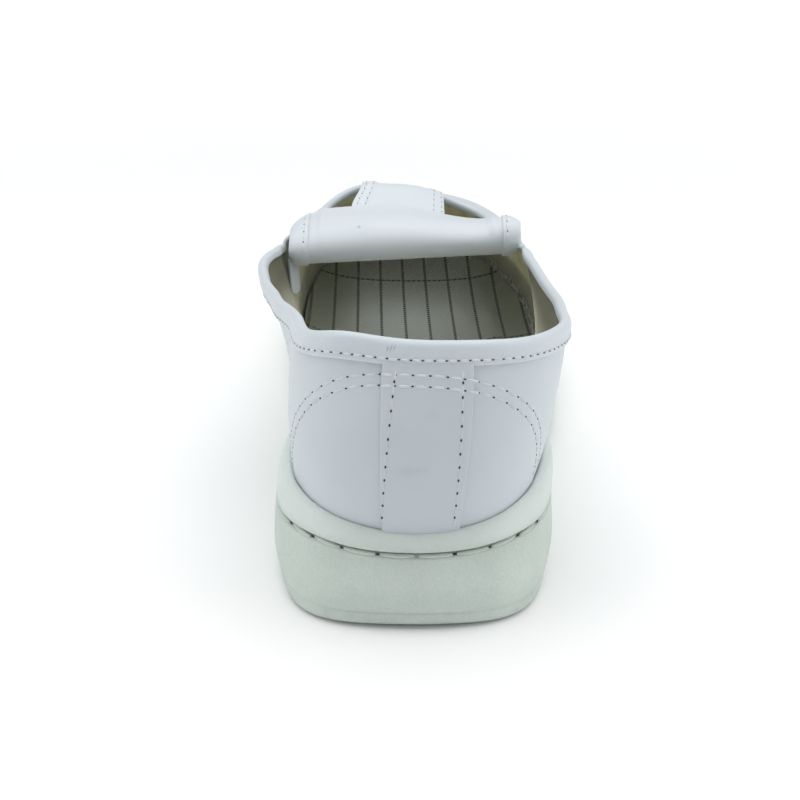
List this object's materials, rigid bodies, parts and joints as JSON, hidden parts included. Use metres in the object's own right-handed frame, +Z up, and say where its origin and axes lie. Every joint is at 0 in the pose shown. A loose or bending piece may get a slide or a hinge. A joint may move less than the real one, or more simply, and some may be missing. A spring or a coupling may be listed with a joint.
{
  "type": "cleanroom shoe",
  "caption": "White slip-on cleanroom work shoe for the right foot: thick moulded sole, low open collar, rolled instep bar with a centre strip, and a striped cloth insole.",
  "frame": {"origin": "on the floor, under the middle of the shoe's bounding box", "axes": "+X to the wearer's right, the outer side of this right shoe; +Y from heel to toe; +Z up"},
  "size_m": [0.0982, 0.268, 0.0757],
  "materials": {
    "sole": "matt moulded foam, faintly green white",
    "upper": "smooth white synthetic leather, satin",
    "insole": "grey white twill with dark conductive threads",
    "binding": "white synthetic leather tape, sewn",
    "strap": "white synthetic leather, rolled at the rear edge"
  },
  "bodies": {
    "root": {"outsole": "sole", "upper": "upper", "insole": "insole", "collar_binding": "binding", "back_stay": "upper", "instep_strap": "strap", "strap_tab_inner": "strap", "strap_tab_outer": "strap"}
  },
  "joints": []
}
